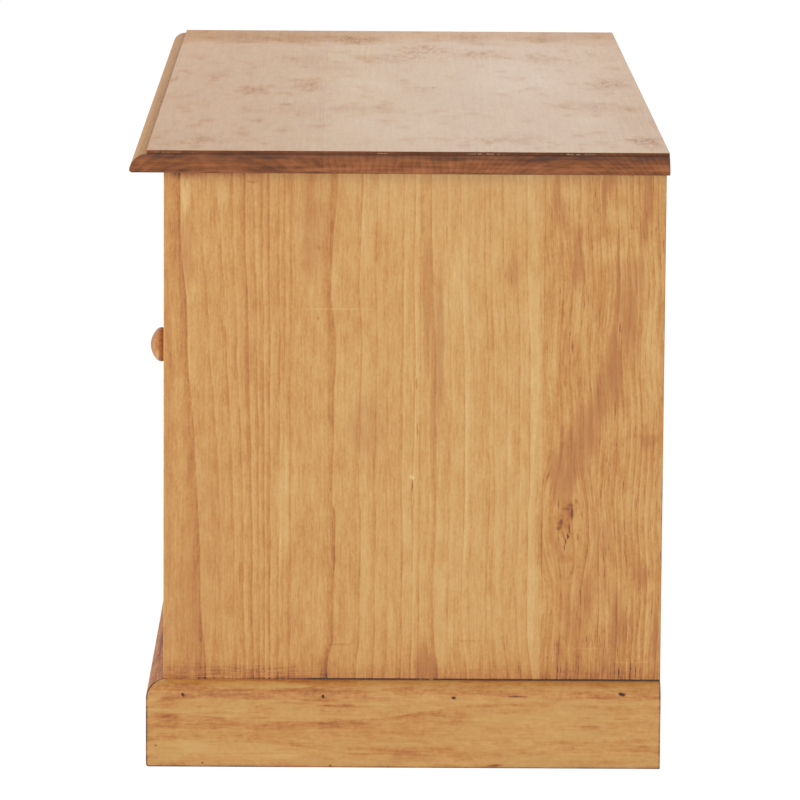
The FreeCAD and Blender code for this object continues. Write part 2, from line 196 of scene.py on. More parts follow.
# Right side: four pine boards glued edge to edge, planed and waxed, with the end of the top and the
# plinth fixed against it. The ring lines, stains, streaks of pitch and small cracks lie where this
# side has them.
def waxed(name, roughness):
    """A new waxed finish: the material, its shader, and the place on the piece in millimetres."""
    material = bpy.data.materials.new(name)
    material.use_nodes = True
    shader = material.node_tree.nodes["Principled BSDF"]
    shader.inputs["Roughness"].default_value = roughness
    shader.inputs["Coat Weight"].default_value = 0.4
    shader.inputs["Coat Roughness"].default_value = 0.25
    here = Tint(material.node_tree).node("TexCoord", {}, {}, "Object")
    return material, shader, here.node("VectorMath", {"operation": "SCALE"}, {0: here, "Scale": 1000})


def smooth(value, low, high):
    """0 to 1 as a value goes from low to high, with soft ends."""
    settings = {"interpolation_type": "SMOOTHSTEP"}
    return value.node("MapRange", settings, {0: value, 1: low, 2: high})


def measures(place):
    """A place's distances along x, y and z."""
    split = place.node("SeparateXYZ", {}, {0: place})
    return split, split.sister(1), split.sister(2)


def apart(across, up):
    """Straight distance, out of two at right angles."""
    return (across * across + up * up).maths("SQRT")


def near(value, middle, outer, inner):
    """1 within a small distance of a middle, fading to nothing at a larger one."""
    return smooth((value - middle).maths("ABSOLUTE"), outer, inner)


# A noise stays near its middle, and this spreads it to about -1 to 1.
noise_spread = 3.3


def clouds(place, pitch, shift, detail=2):
    """Soft random shading from about -1 to 1. Its clouds are as far apart as pitch says along x, y, z."""
    scales = tuple(1 / size for size in pitch)
    moved = place.node("Mapping", {}, {"Vector": place, "Location": (shift,) * 3, "Scale": scales})
    noise = moved.node("TexNoise", {}, {"Vector": moved, "Scale": 1.0, "Detail": detail})
    return (noise - 0.5) * noise_spread


def drawn_out(grain, over, run):
    """Pitch of clouds that are drawn out along the grain, which is one of x, y, z."""
    return tuple(run if axis == grain else over for axis in "xyz")


def fibres(place, grain, shift):
    """Fine fibre of the wood along its grain: broad and fine threads, short dashes and a mottle."""
    threads = clouds(place, drawn_out(grain, 5, 120), shift) * 0.045
    threads += clouds(place, drawn_out(grain, 1.9, 70), shift + 2, 3) * 0.050
    dashes = clouds(place, drawn_out(grain, 1.3, 12), shift + 4, 3) * 0.085
    mottle = clouds(place, drawn_out(grain, 2.2, 3.2), shift + 6, 3) * 0.060
    cast = clouds(place, drawn_out(grain, 7, 20), shift + 8, 3) * 0.075
    return threads + dashes + mottle + cast


def blended(share, first, second):
    """Mix of two colours."""
    return share.node("Mix", {"data_type": "RGBA"}, {0: share, 6: first, 7: second}, out=2)


pine_tones = (
    (0.0, linear(240, 205, 140)),
    (0.25, linear(222, 181, 117)),
    (0.5, linear(208, 155, 87)),
    (0.68, linear(192, 128, 60)),
    (0.84, linear(160, 93, 41)),
    (1.0, linear(66, 34, 17)),
)


def pine_colour(depth):
    """Colour of waxed pine, from straw at 0 to dark pitch at 1, with 0.5 as its common tone."""
    return depth.node("ValToRGB", {"stops": pine_tones}, {0: depth})


light_start = 0.7


def board_rings(low, high, rings):
    """Points of one board's curve. A ring darkens over its rise up to its edge, then light wood starts."""
    width = high - low
    points = [(0.0, 0.5)]
    for edge, rise, dark, light in rings:
        at = (edge - low) / width
        points.append((max(at - rise / width, points[-1][0] + 0.002), 0.5))
        points.append((at, 0.5 + dark))
        points.append((min(at + light_start / width, 0.999), 0.5 - light))
    points.append((1.0, 0.5))
    return points


side_front = -197
side_rear = 223.5
side_height = 507
side_joints = (-90, 18.5, 122.3)
side_edges = (side_front,) + side_joints + (side_rear,)
board_tones = (0.525, 0.49, 0.455, 0.545)
# Each board's rings from front to rear: where the dark edge is, how wide it rises, how much darker it
# is, and how much lighter the wood after it is.
side_rings = (
    (
        (-186, 6, 0.05, 0), (-172, 11, 0.23, 0.09), (-153.8, 3, 0.08, 0.06), (-141, 4, 0.10, 0.06),
        (-132.4, 3, 0.13, 0.08), (-124, 3.5, 0.17, 0.10), (-117.6, 2.5, 0.13, 0.08),
        (-112.6, 2, 0.14, 0.09), (-107.5, 2.5, 0.17, 0.08), (-100, 3, 0.13, 0.08),
        (-95.8, 2, 0.10, 0.06), (-90.6, 2, 0.12, 0.02),
    ),
    (
        (-72, 8, 0.04, 0.02), (-53.8, 9, 0.19, 0.05), (-44, 2, 0.04, 0.03), (-31.4, 1.6, 0.11, 0.12),
        (-18.1, 1.5, 0.13, 0.04), (-8.4, 2, 0.08, 0.03), (4.2, 2, 0.13, 0.13), (13.4, 1.4, 0.12, 0.18),
    ),
    (
        (24, 3, 0.08, 0), (30.3, 4.5, 0.16, 0.06), (42.9, 2.5, 0.05, 0.05), (54.9, 1.4, 0.10, 0.16),
        (60.8, 0.6, 0.08, 0.04), (75.6, 2, 0.11, 0.05), (79.8, 1.5, 0.09, 0.05), (90.2, 2, 0.12, 0.05),
        (100.6, 2, 0.10, 0.06), (109.4, 1.5, 0.12, 0.13), (120.6, 0.8, 0.10, 0.05),
    ),
    (
        (130.3, 3, 0.08, 0.04), (137.5, 2.5, 0.13, 0.05), (144.8, 2.5, 0.11, 0.06),
        (154.1, 4, 0.13, 0.06), (162.1, 3, 0.11, 0.06), (169.3, 3, 0.13, 0.05), (174.4, 2, 0.09, 0.05),
        (184.5, 3.5, 0.17, 0.09), (188.8, 2, 0.08, 0.06), (193.9, 2, 0.10, 0.07),
        (198.9, 2.5, 0.12, 0.10), (204, 2, 0.11, 0.11), (209.1, 2, 0.10, 0.12), (214.1, 2, 0.09, 0.09),
        (219.2, 2, 0.08, 0.06),
    ),
)
# How far the rings wander along each board, in millimetres at places up it, and the most they may.
bend_limit = 20
side_bends = (
    ((0, 13), (87, 10.2), (134, 6.5), (200, 5.6), (251, 3.1), (281, 1.4), (320, -1.9),
     (349, -4.5), (386, -5.3), (415, -7.8), (445, -10.3), (507, -11.2)),
    ((0, -4.5), (90, -3.8), (112, 0), (155, 0), (176, 1.3), (214, 1.3), (227, -1.6),
     (257, -1.6), (274, 0), (304, 0), (350, 1.3), (364, 1.3), (386, -1.6), (408, -2.9),
     (438, -2.1), (467, 0), (507, 2.1)),
    ((0, 6), (75, 5), (112, 1), (150, 0), (220, 2), (300, 1.2), (350, 0.8),
     (410, -1.6), (507, -3.4)),
    ((0, -2), (90, 0), (150, 2), (220, -1), (290, 1.5), (350, -1.5), (410, 1),
     (460, -1.5), (507, -3)),
)
# Stains and pale places, which follow the fibre: place across and up, reach across and up, and how much
# darker or lighter.
side_stains = (
    (-178.5, 487, 5, 17, -0.15), (-148, 488, 6, 15, -0.13), (-128, 360, 8, 60, 0.04),
    (-96, 225, 8, 70, -0.13), (-193, 250, 4, 420, 0.05), (-177, 440, 8, 42, 0.07),
    (-177, 120, 14, 70, 0.05), (-164, 190, 26, 110, 0.04), (-26, 290, 20, 36, 0.07),
    (35, 355, 4.5, 80, 0.12), (129, 356, 6, 60, -0.07), (202, 420, 6, 22, 0.10),
    (141, 229, 7, 22, 0.08), (139, 186, 9, 14, 0.07), (175, 195, 10, 22, 0.07),
    (184, 143, 14, 18, 0.05), (180, 470, 16, 12, -0.08), (-72, 455, 15, 50, 0.08),
    (-6, 482, 18, 36, -0.10), (24, 400, 5, 70, 0.10), (29.5, 320, 3, 100, 0.09),
    (56, 420, 1.8, 120, -0.06), (58.4, 290, 1.6, 110, -0.06), (115.5, 330, 4.6, 260, -0.03),
    (113, 150, 4, 90, -0.05), (49, 409, 5.5, 38, -0.13), (96, 421, 7, 18, 0.09),
    (39, 154, 5, 24, -0.12), (22, 88, 7, 20, 0.11), (30.3, 83, 3, 15, 0.28), (132, 485, 4, 24, 0.13),
    (137, 470, 3, 18, 0.10), (171, 480, 2.2, 28, 0.14), (175, 498, 5, 14, 0.13),
    (208, 485, 6, 30, 0.15), (205, 458, 4, 18, 0.10), (150, 432, 5, 32, 0.13),
    (147.6, 422, 1.5, 14, 0.24), (177, 441, 20, 11, -0.11), (184, 420, 1.8, 48, 0.15),
    (192, 400, 9, 48, 0.09), (196, 372, 10, 34, 0.07), (180.5, 350, 7, 32, 0.14),
    (184, 330, 6, 28, 0.12), (174, 322, 9, 30, 0.12), (165, 296, 8, 36, 0.12), (155, 278, 12, 38, 0.12),
    (143, 262, 9, 28, 0.11), (134, 250, 7, 26, 0.14), (147, 250, 5, 28, 0.10),
    (212.6, 352, 9, 70, -0.10), (161.8, 151.6, 8, 20, 0.09), (150, 125, 14, 30, 0.05),
    (206.3, 163.6, 7, 13, 0.12), (210.5, 281, 9, 8, 0.10), (184.5, 112, 6, 22, 0.12),
    (191, 120, 5, 17, 0.13), (198.3, 125.6, 2.6, 10, 0.12), (178, 92, 8, 16, 0.08),
    (219, 115, 3, 30, 0.16),
)
# Small marks with their own outline: flecks, scratches, cracks and the streak of pitch. The second and
# third are a painted shadow under the top's moulding.
side_marks = (
    (-122.7, 497, 6, 1.2, 0.14), (-178, 508, 26, 10, 0.32), (-138, 508, 30, 8, 0.18),
    (-67.2, 441.8, 1, 3, 0.26), (-67.2, 382, 1, 2.4, 0.26), (-56.3, 236.6, 0.9, 3, 0.20),
    (-52, 390, 36, 1, -0.09), (11.8, 247.6, 3, 2.2, -0.30), (12.6, 240, 0.8, 6, 0.36),
    (13.6, 228, 0.7, 12, 0.25), (15.6, 327, 0.8, 6.5, 0.32), (16.3, 288.5, 0.8, 6.5, 0.32),
    (-46.5, 104, 13, 1.2, 0.08), (40, 454, 0.8, 10, 0.24), (94.7, 416, 0.8, 8, 0.28),
    (61, 107.6, 17, 1.1, 0.09), (143, 214, 9, 17, 0.12), (139, 208, 5, 9, 0.10),
    (150.2, 227.5, 1.6, 3.2, 0.20), (146.5, 224.3, 4, 1.9, 0.20), (142, 221.2, 4.2, 1.8, 0.20),
    (147.2, 216.6, 1.2, 6.4, 0.18), (138.3, 209, 2.4, 3.8, 0.20), (135.8, 204.5, 3.2, 2.1, 0.20),
    (145.4, 204, 1.1, 4.6, 0.20), (143.9, 197.5, 0.9, 3, 0.42), (142.3, 193, 1, 3, 0.50),
    (141.3, 188, 0.9, 3.6, 0.50), (142, 177.8, 10, 4.6, 0.12), (165, 101.6, 34, 0.8, -0.07),
    (194, 89.6, 26, 0.8, -0.07),
)


def marks_on(across, up, marks):
    """Sum of soft round-edged marks, each a little ragged."""
    flat = across.node("CombineXYZ", {}, {0: across, 1: up})
    total = None
    for mark_across, mark_up, reach_across, reach_up, darker in marks:
        sizes = (1 / reach_across, 1 / reach_up, 0.0)
        start = (-mark_across / reach_across, -mark_up / reach_up, 0.0)
        away = flat.node("VectorMath", {"operation": "MULTIPLY_ADD"}, {0: flat, 1: sizes, 2: start})
        distance = away.node("VectorMath", {"operation": "LENGTH"}, {0: away}, out=1)
        cover = smooth(distance, 1.15, 0.35)
        total = cover.maths("MULTIPLY_ADD", darker, 0.0 if total is None else total)
    return total


# The knot in the last board: its place and the reach of the grain that parts round it.
knot_across = 141
knot_up = 208
knot_reach_across = 34
knot_reach_up = 62


def side_figure(place, across, up):
    """Ring lines of the four boards, and how far the last board's are moved from straight."""
    drift = clouds(place, (60, 26, 170), 3) * 1.5 + clouds(place, (60, 7, 60), 11) * 0.4
    past_knot = (across - knot_across) / knot_reach_across
    over_knot = (up - knot_up) / knot_reach_up
    around_knot = past_knot * past_knot + over_knot * over_knot
    parted = (across - knot_across) * smooth(around_knot, 1.0, 0.0) * 0.6
    depth = None
    for index, rings in enumerate(side_rings):
        low, high = side_edges[index], side_edges[index + 1]
        bend_points = [(z / side_height, 0.5 + 0.5 * bend / bend_limit) for z, bend in side_bends[index]]
        bend = up.node("FloatCurve", {"bends": bend_points}, {"Value": up / side_height})
        # Towards one edge of the first two boards the rings run straighter.
        fade = 1.0
        if index == 0:
            fade = smooth(across, -92, -172)
        elif index == 1:
            fade = smooth(across, -14, -46) * 0.75 + 0.25
        moved = across + drift - (bend - 0.5) * (2 * bend_limit) * fade - parted
        position = (moved - low) / (high - low)
        curve = across.node("FloatCurve", {"corners": board_rings(low, high, rings)}, {"Value": position})
        on_board = across.maths("GREATER_THAN", low) * across.maths("LESS_THAN", high)
        part = (curve - 0.5) * on_board
        depth = part if depth is None else depth + part
    strength = clouds(place, (40, 5, 90), 21) * 0.35 + 0.85
    return depth * strength, moved - across


def side_tones(across):
    """The boards' own tones, and the hairlines of the joints between them."""
    side_depth = side_rear - side_front
    tones = [(0.0, board_tones[0])]
    for joint, before, after in zip(side_joints, board_tones, board_tones[1:]):
        at = (joint - side_front) / side_depth
        tones += [(at - 0.0012, before), (at + 0.0002, after)]
    tones.append((1.0, board_tones[-1]))
    along_side = (across - side_front) / side_depth
    tone = along_side.node("FloatCurve", {"corners": tones}, {"Value": along_side})
    for joint in side_joints:
        tone += near(across, joint, 0.7, 0.1) * 0.10
    return tone


def side_dirt_and_light(place, across, up, fibre):
    """Wax and dirt along the plinth and on the rear edge, and painted light under the top's rear part,
    which lifts the shade under the top.
    """
    # Painted light: the wood just under the top is made paler, against the shade that the top casts there.
    light_below_top = smooth(up, 455, 500) * 0.06 + smooth(up, 497, 504) * 0.05
    ragged_foot = smooth(up + fibre * 0.3, 93, 77)
    smears = smooth(clouds(place, (9, 22, 1.6), 61, 3), -0.5, 0.45) * 0.20
    grime = smooth(clouds(place, (9, 1.6, 1.4), 63, 2), 0.15, 0.6) * 0.14
    at_front = smooth(across, -55, -105)
    dirt_and_light = ragged_foot * (0.07 + (smears + grime) * (at_front * 0.6 + 0.2))
    dirt_and_light = dirt_and_light - light_below_top * smooth(across, -70, 60)
    dirt_and_light += smooth(up, 130, 84) * (at_front * -0.05 + 0.08)
    return dirt_and_light + smooth(across, 222.2, side_rear - 0.2) * 0.16


def right_side_finish():
    """The right side's finish: figure and fibre, then stains and marks, some of them painted shadow, then
    dirt, painted light and a painted shadow line along the plinth.
    """
    material, shader, place = waxed("right side pine", 0.40)
    across, up = measures(place)[1:]
    depth, bent = side_figure(place, across, up)
    depth += side_tones(across)
    # Fine fibre, broad clouds of tone, and the short dark pores that the last board has most of. There
    # the fibre follows the rings round the knot.
    on_last = smooth(across, 121, 124)
    with_rings = place.node("CombineXYZ", {}, {1: bent * on_last})
    flowing = place.node("VectorMath", {"operation": "ADD"}, {0: place, 1: with_rings})
    depth += fibres(flowing, "z", 31) * 1.2 + clouds(place, (40, 30, 50), 41, 3) * 0.05
    pores = smooth(clouds(flowing, (8, 1.2, 16), 47, 1), 0.45, 0.95)
    depth += pores * (on_last * 0.20 + 0.07)
    depth += clouds(flowing, (8, 1.3, 30), 43, 3) * on_last * 0.11
    grain = depth + clouds(place, (30, 16, 36), 45, 3) * on_last * 0.07
    fibre = clouds(place, (9, 2.2, 60), 57) * 8
    stains = marks_on(across + clouds(place, (9, 9, 18), 55) * 1.5, up + fibre, side_stains)
    stains *= clouds(place, (9, 1.5, 22), 56, 3) * 0.35 + 1.1
    stained = stains.maths("MAXIMUM", 0.0).maths("MINIMUM", 0.20)
    depth = grain + stains.maths("MINIMUM", 0.0) + stained * 0.50
    ragged_across = across + clouds(place, (9, 3, 5), 53) * 0.7
    ragged_up = up + clouds(place, (9, 3, 6), 59)
    marks = marks_on(ragged_across, ragged_up, side_marks)
    depth += marks
    depth += side_dirt_and_light(place, across, up, fibre)
    # A painted shadow line where the side meets the plinth's top edge.
    seam_shadow = smooth(up, 75.4, 74.4) * smooth(up, 72.6, 73.2) * (smooth(across, -95, -60) * 0.40 + 0.10)
    tinted = blended(stained * 3.8, pine_colour(depth + seam_shadow), linear(184, 118, 62))
    waxed_over(material, shader, depth, grain + marks, tinted)
    dull = clouds(place, (20, 12, 30), 67) * 0.04 + 0.41
    dull.feed(shader, "Roughness")
    return material


def waxed_over(material, shader, depth, grain=None, colour=None):
    """Paints the depth of tone, or a colour of its own, and lets the grain stand a little in the wax."""
    (colour or pine_colour(depth)).feed(shader, "Base Color")
    height = grain or depth
    relief = height.node("Bump", {"invert": True}, {"Height": height, "Strength": 0.25, "Distance": 0.0004})
    relief.feed(shader, "Normal")
    return material


def dress(material, *names):
    """Gives CAD nodes their finish."""
    for name in names:
        nodes[name].data.materials.clear()
        nodes[name].data.materials.append(material)


dress(right_side_finish(), "side_right")


# Left side: the same four-board panel as the right one, out of other boards of the same pine.
def plain_pine(name, axes, face, edges, seed, spacing=7.5, heart=45, lean=0.05, tone=0.5, contrast=1.0):
    """Waxed pine cut from a log: its material, shader, place and depth of tone. Axes names the directions
    across the board, through it and along it, face is where its face lies and edges gives the places
    across where its boards meet."""
    material, shader, place = waxed(name, 0.42)
    spread = dict(zip("xyz", measures(place)))
    across, through, along = (spread[axis] for axis in axes)
    grain = axes[2]
    # Each board comes from its own log: chance gives where the heart lies and how far the log leans.
    width = (edges[-1] - edges[0]) / (len(edges) - 1)
    board = across * 0.0
    for edge in edges[1:-1]:
        board += across.maths("GREATER_THAN", edge)
    chance = place.node("TexWhiteNoise", {"noise_dimensions": "1D"}, {"W": board + seed * 1.7}, "Color")
    from_heart, from_below, from_lean = measures(chance)
    own = place.node("VectorMath", {"operation": "MULTIPLY_ADD"}, {0: chance, 1: (900,) * 3, 2: place})
    wander = clouds(own, drawn_out(grain, 70, 260), seed) * 5
    wander += clouds(own, drawn_out(grain, 16, 60), seed) * 0.8
    middle = board * width + (edges[0] + width / 2)
    sideways = across - middle - (from_heart - 0.5) * (width * 0.9) + wander
    down = through - face + along * ((from_lean - 0.5) * (2 * lean)) + (from_below + 0.5) * heart
    # The rings lie round the heart. Each darkens slowly up to its edge, where the next starts pale.
    radius = apart(sideways, down)
    uneven = clouds(own, drawn_out(grain, 60, 240), seed + 5) * 0.35
    turn = (radius / spacing + uneven).maths("FRACT")
    band = turn.maths("POWER", 2.2) * smooth(turn, 1.0, 0.93)
    strength = clouds(own, drawn_out(grain, 60, 240), seed + 9) * 0.35 + 1.0
    depth = band * strength * (0.30 * contrast) + (from_below - 0.5) * 0.10 + (tone - 0.06 * contrast)
    depth += clouds(own, drawn_out(grain, 50, 200), seed + 17) * 0.035
    depth += fibres(own, grain, seed)
    pores = smooth(clouds(own, drawn_out(grain, 1.5, 11), seed + 19, 1), 0.60, 1.1)
    depth += pores * 0.08
    for edge in edges[1:-1]:
        depth += near(across, edge, 0.7, 0.1) * 0.08
    return material, shader, place, depth


left_pine, left_shader, left_place, left_depth = plain_pine(
    "left side pine", "yxz", -557, side_edges, 3, spacing=8, heart=50, tone=0.52
)
left_up = measures(left_place)[2]
# Painted shade just under the top, and dirt along the foot.
left_shade_and_dirt = smooth(left_up, 500, 505) * 0.12 + smooth(left_up, 90, 74) * 0.12
dress(waxed_over(left_pine, left_shader, left_depth + left_shade_and_dirt), "side_left")


# Dividers, floor and rails: pine boards housed and tenoned between the sides, waxed like them.
def grained(name, axes, face, edges, seed, **cut):
    """A plain pine finish with nothing more on it."""
    material, shader, place, depth = plain_pine(name, axes, face, edges, seed, **cut)
    return waxed_over(material, shader, depth)


frame_edges = (side_front, -62, 78, side_rear)
rail_edges = (469, side_height)
back_seat = 215.5
dress(grained("divider right pine", "yxz", 191.7, frame_edges, 5), "divider_right")
dress(grained("divider left pine", "yxz", -191.7, frame_edges, 6, tone=0.52), "divider_left")
dress(grained("floor pine", "yzx", 81, frame_edges, 7, lean=0.03), "floor_panel")
front_rail_pine = grained("front rail pine", "zyx", side_front, rail_edges, 8, spacing=6, tone=0.52)
dress(front_rail_pine, "front_top_rail")
rear_rail_pine = grained("rear rail pine", "zyx", back_seat, rail_edges, 9, spacing=6)
dress(rear_rail_pine, "rear_top_rail", "top_battens")


# Plinth: boards planted round the foot of the unit and mitred at the front corners, with a moulded
# top edge. They are glued to blocks and pinned with nails, whose punched holes have filled with wax.
def pick(piece):
    """Selects one piece alone."""
    bpy.ops.object.select_all(action="DESELECT")
    bpy.context.view_layer.objects.active = piece
    piece.select_set(True)


def smooth_copy(name, new_name, body):
    """A copy of a CAD node with its facets joined, so that its moulded edges shade as smooth wood."""
    copy = bpy.data.objects.new(new_name, nodes[name].data.copy())
    scene.collection.objects.link(copy)
    pick(copy)
    bpy.ops.object.mode_set(mode="EDIT")
    bpy.ops.mesh.select_all(action="SELECT")
    bpy.ops.mesh.customdata_custom_splitnormals_clear()
    bpy.ops.mesh.remove_doubles(threshold=0.00001)
    bpy.ops.mesh.dissolve_limited(angle_limit=math.radians(0.5))
    bpy.ops.object.mode_set(mode="OBJECT")
    bpy.ops.object.shade_smooth_by_angle(angle=math.radians(32))
    copy.data.materials.clear()
    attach(copy, body)
    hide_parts(name)
    return copy


def ease_edge(piece, on_edge, reach):
    """Rounds the edges whose two ends pass a test, as sandpaper does."""
    pick(piece)
    bpy.ops.object.mode_set(mode="EDIT")
    bpy.ops.mesh.select_mode(type="EDGE")
    bpy.ops.mesh.select_all(action="DESELECT")
    shape = bmesh.from_edit_mesh(piece.data)
    for edge in shape.edges:
        edge.select_set(all(on_edge(vertex.co) for vertex in edge.verts))
    bmesh.update_edit_mesh(piece.data)
    bpy.ops.mesh.bevel(offset=reach, segments=4, affect="EDGES")
    bpy.ops.object.mode_set(mode="OBJECT")


# Marks on the plinth: place up and along, reach up and along, and how much darker or lighter. The first
# eight are the nails' holes, a stain by one of them and pricks near the foot, and the left board has them
# too.
plinth_marks = (
    (62.7, -180.3, 1.7, 1.7, 0.55), (61, -176, 3, 9, 0.12), (61.5, -61, 1.9, 1.7, 0.65),
    (61.2, 48.8, 1.5, 2.8, 0.62), (64.7, 190.3, 1.6, 2.6, 0.62), (4, -163.6, 1.1, 1.1, 0.45),
    (2.1, -55.7, 1.1, 1.1, 0.45), (19, -202.7, 1.2, 1.2, 0.40), (57, -190, 6, 15, 0.15),
    (42, -192, 12, 13, 0.07), (58.5, -68, 1.3, 20, 0.12), (54, -52, 1.5, 22, 0.12),
    (43.5, -120, 2, 22, 0.10), (36.5, -100, 3.8, 52, 0.03), (44, -62, 12, 3, 0.05),
    (56, -84, 1.4, 26, 0.09), (35, -66, 1.4, 26, 0.06), (47, -155, 1.3, 24, 0.09),
    (34, -172, 2, 20, 0.05), (36, -58, 4.5, 17, 0.05), (20, -150, 9, 62, -0.10),
    (10, -95, 2.4, 16, -0.13), (10, 8, 7, 18, 0.10), (62.3, 103, 1.3, 10, 0.24),
    (59.5, 182, 4.5, 24, 0.08), (37, 160, 0.9, 18, 0.12), (43.5, 190, 0.9, 8, 0.14),
    (41, 56, 10, 9, 0.07), (3, 84, 1.3, 8, 0.30), (20, 122, 6, 24, -0.09), (20, 208, 1.2, 8, 0.10),
    (6, 170, 2, 40, 0.06),
)


plinth_edges = (0.0, 73.5)
# On the mitres of the front corners, the places out and to the rear add up to this.
mitre_sum = 360


def plinth_finish(name, axes, face, seed, marks, coat=0.4):
    """Pine plinth finish: darker along its top edge and a little at the foot."""
    material, shader, place, depth = plain_pine(
        name, axes, face, plinth_edges, seed, spacing=13, heart=26, lean=0.04, tone=0.51, contrast=0.40
    )
    grain = axes[2]
    out, deep, up = measures(place)
    along = deep if grain == "y" else out
    ragged_up = up + clouds(place, (6, 9, 4), seed) * 0.5
    ragged_along = along + clouds(place, (9, 9, 4), seed + 3) * 1.6
    depth += smooth(ragged_up, 57, 63) * (smooth(along, 20, 80) * 0.05 + 0.09)
    depth = depth - smooth(ragged_up, 65, 69.5) * 0.05
    depth += smooth(up, 2.2, 0.6) * 0.38
    # The mitres and the rear end are darker.
    on_mitre = near(out.maths("ABSOLUTE") + deep, mitre_sum, 1.7, 0.4)
    rear_end = smooth(deep, 221.4, 223)
    depth += on_mitre * 0.38 + rear_end * 0.24
    depth += clouds(place, drawn_out(grain, 6, 30), seed + 5, 4) * 0.09
    depth += clouds(place, (5, 5, 5), seed + 6) * 0.05
    depth += marks_on(ragged_up, ragged_along, marks)
    straw = smooth(clouds(place, drawn_out(grain, 16, 70), seed + 8), -0.6, 0.6)
    straw = (straw * 0.35 + 0.08) * smooth(depth, 0.72, 0.56)
    yellowed = blended(straw, pine_colour(depth), linear(202, 160, 92))
    waxed_over(material, shader, depth, colour=yellowed)
    waxy = smooth(depth, 0.92, 0.66) * coat
    waxy.feed(shader, "Coat Weight")
    return material


plinth_out = 571.2
plinth_face = -211.2
sanded = 0.0032


def plinth_board(hand, pine, on_face):
    """One plinth board: its finish, and its lower outer edge sanded round."""
    board = smooth_copy(f"plinth_{hand}", f"plinth_board_{hand}", "cabinet")
    board.data.materials.append(pine)
    ease_edge(board, lambda at: at.z < 0.0001 and on_face(at * 1000), sanded)


right_plinth_pine = plinth_finish("right plinth pine", "zxy", plinth_out, 21, plinth_marks)
plinth_board("right", right_plinth_pine, lambda at: at.x > plinth_out - 0.1)
left_plinth_pine = plinth_finish("left plinth pine", "zxy", -plinth_out, 22, plinth_marks[:8])
plinth_board("left", left_plinth_pine, lambda at: at.x < 0.1 - plinth_out)
# A painted shade along the front board's moulded top edge.
front_top_shade = (70, 0, 9, 1200, 0.20)
front_marks = [(61.5, x, 1.7, 1.9, 0.6) for x in (-540, -278, 4, 262, 548)] + [front_top_shade]
front_plinth_pine = plinth_finish("front plinth pine", "zyx", plinth_face, 23, front_marks, coat=0.12)
front_plinth_shader = front_plinth_pine.node_tree.nodes["Principled BSDF"]
front_plinth_shader.inputs["Roughness"].default_value = 0.65
plinth_board("front", front_plinth_pine, lambda at: at.y < plinth_face + 0.1)
plinth_rail_pine = grained("plinth rail pine", "zyx", back_seat, plinth_edges, 24)
dress(plinth_rail_pine, "plinth_rear_rail", "plinth_blocks")


# Top: three pine boards glued edge to edge, with an ovolo and a quirk run round the front and both
# ends. The end grain has drunk the wax and gone dark, and the flat shines pale from low down.
top_edges = (-225, -65, 59, 225)
top_reach = 0.5849
top_front = -0.2249
top_face = 524.5
top = smooth_copy("top_panel", "top_board", "cabinet")
# The lowest edge of the moulding is sanded round: its points go in a little, and those above it less.
underside = 0.50705
above_underside = 0.5079
for vertex in top.data.vertices:
    eased = 0.0021 if vertex.co.z < underside else 0.0007
    if vertex.co.z < above_underside and abs(vertex.co.x) > top_reach:
        vertex.co.x -= math.copysign(eased, vertex.co.x)
    if vertex.co.z < above_underside and vertex.co.y < top_front:
        vertex.co.y += eased
top_pine, top_shader, top_place, top_depth = plain_pine(
    "top pine", "yzx", top_face, top_edges, 31, spacing=6, heart=34, tone=0.60, contrast=0.10
)
top_along, top_deep, top_high = measures(top_place)
top_out = top_along.maths("ABSOLUTE")
# The flat stops at the quirk, and the front's and an end's moulding meet on the mitre.
quirk_out = 570.4
quirk_front = -210.4
below_flat = smooth(top_high, top_face - 0.06, top_face - 0.2)
on_mitre = smooth(top_out + top_deep - mitre_sum, -0.2, 0.2)
past_front = smooth(top_deep, quirk_front + 0.2, quirk_front - 0.2)
on_end = below_flat * smooth(top_out, quirk_out - 0.2, quirk_out + 0.2)
on_end *= 1 - past_front * (1 - on_mitre)
on_front = below_flat * (1 - on_end) * past_front
on_flat = 1 - on_end - on_front

# Smudges and paler places on the flat, where it has been handled: place across and along, reach across
# and along, and how much darker or lighter. They are also duller or shinier than the rest.
top_smudges = (
    (-94, -473, 95, 50, 0.08), (-36, -462, 24, 45, 0.10), (-92, -245, 31, 63, 0.05),
    (-129, 55, 19, 52, 0.09), (-82, -5, 20, 81, 0.08), (22, 36, 20, 34, 0.08), (-97, 235, 40, 60, 0.04),
    (-27, 222, 43, 53, 0.06), (180, 192, 56, 60, 0.06), (200, -13, 25, 55, 0.08),
    (99, 467, 43, 36, 0.04), (-178, 507, 28, 34, 0.06), (4, -272, 49, 63, 0.08),
    (-206, -46, 7, 35, 0.08), (-62, -164, 23, 61, 0.05), (78, -474, 17, 68, 0.06),
    (153, -479, 36, 41, 0.06), (-171, -87, 16, 36, 0.05), (-186, 178, 15, 32, 0.04),
    (-150, 489, 36, 29, 0.04), (161, -262, 47, 63, 0.03), (-24, 1, 30, 120, -0.04),
    (115, -56, 52, 230, -0.05), (-12, 384, 60, 110, -0.03), (168, 314, 23, 51, -0.03),
    (68, 493, 30, 16, 0.06), (119, 506, 28, 14, 0.07), (169, 519, 26, 16, 0.07),
    (210, 500, 14, 60, 0.10), (-205, 532, 16, 20, 0.05), (26, -360, 34, 60, 0.11),
    (84, -310, 34, 70, 0.09), (142, -282, 26, 70, 0.05),
)
torn_pitch = (50, 14, 9)
torn_across = top_deep + clouds(top_place, torn_pitch, 79, 5) * 16
torn_along = top_along + clouds(top_place, torn_pitch, 80, 5) * 40
smudges = marks_on(torn_across, torn_along, top_smudges)
smudges *= clouds(top_place, (8, 2.4, 9), 82, 5) * 2.6 + 0.92
smudges += smooth(clouds(top_place, (50, 18, 40), 81, 5), 0.0, 1.0) * 0.12
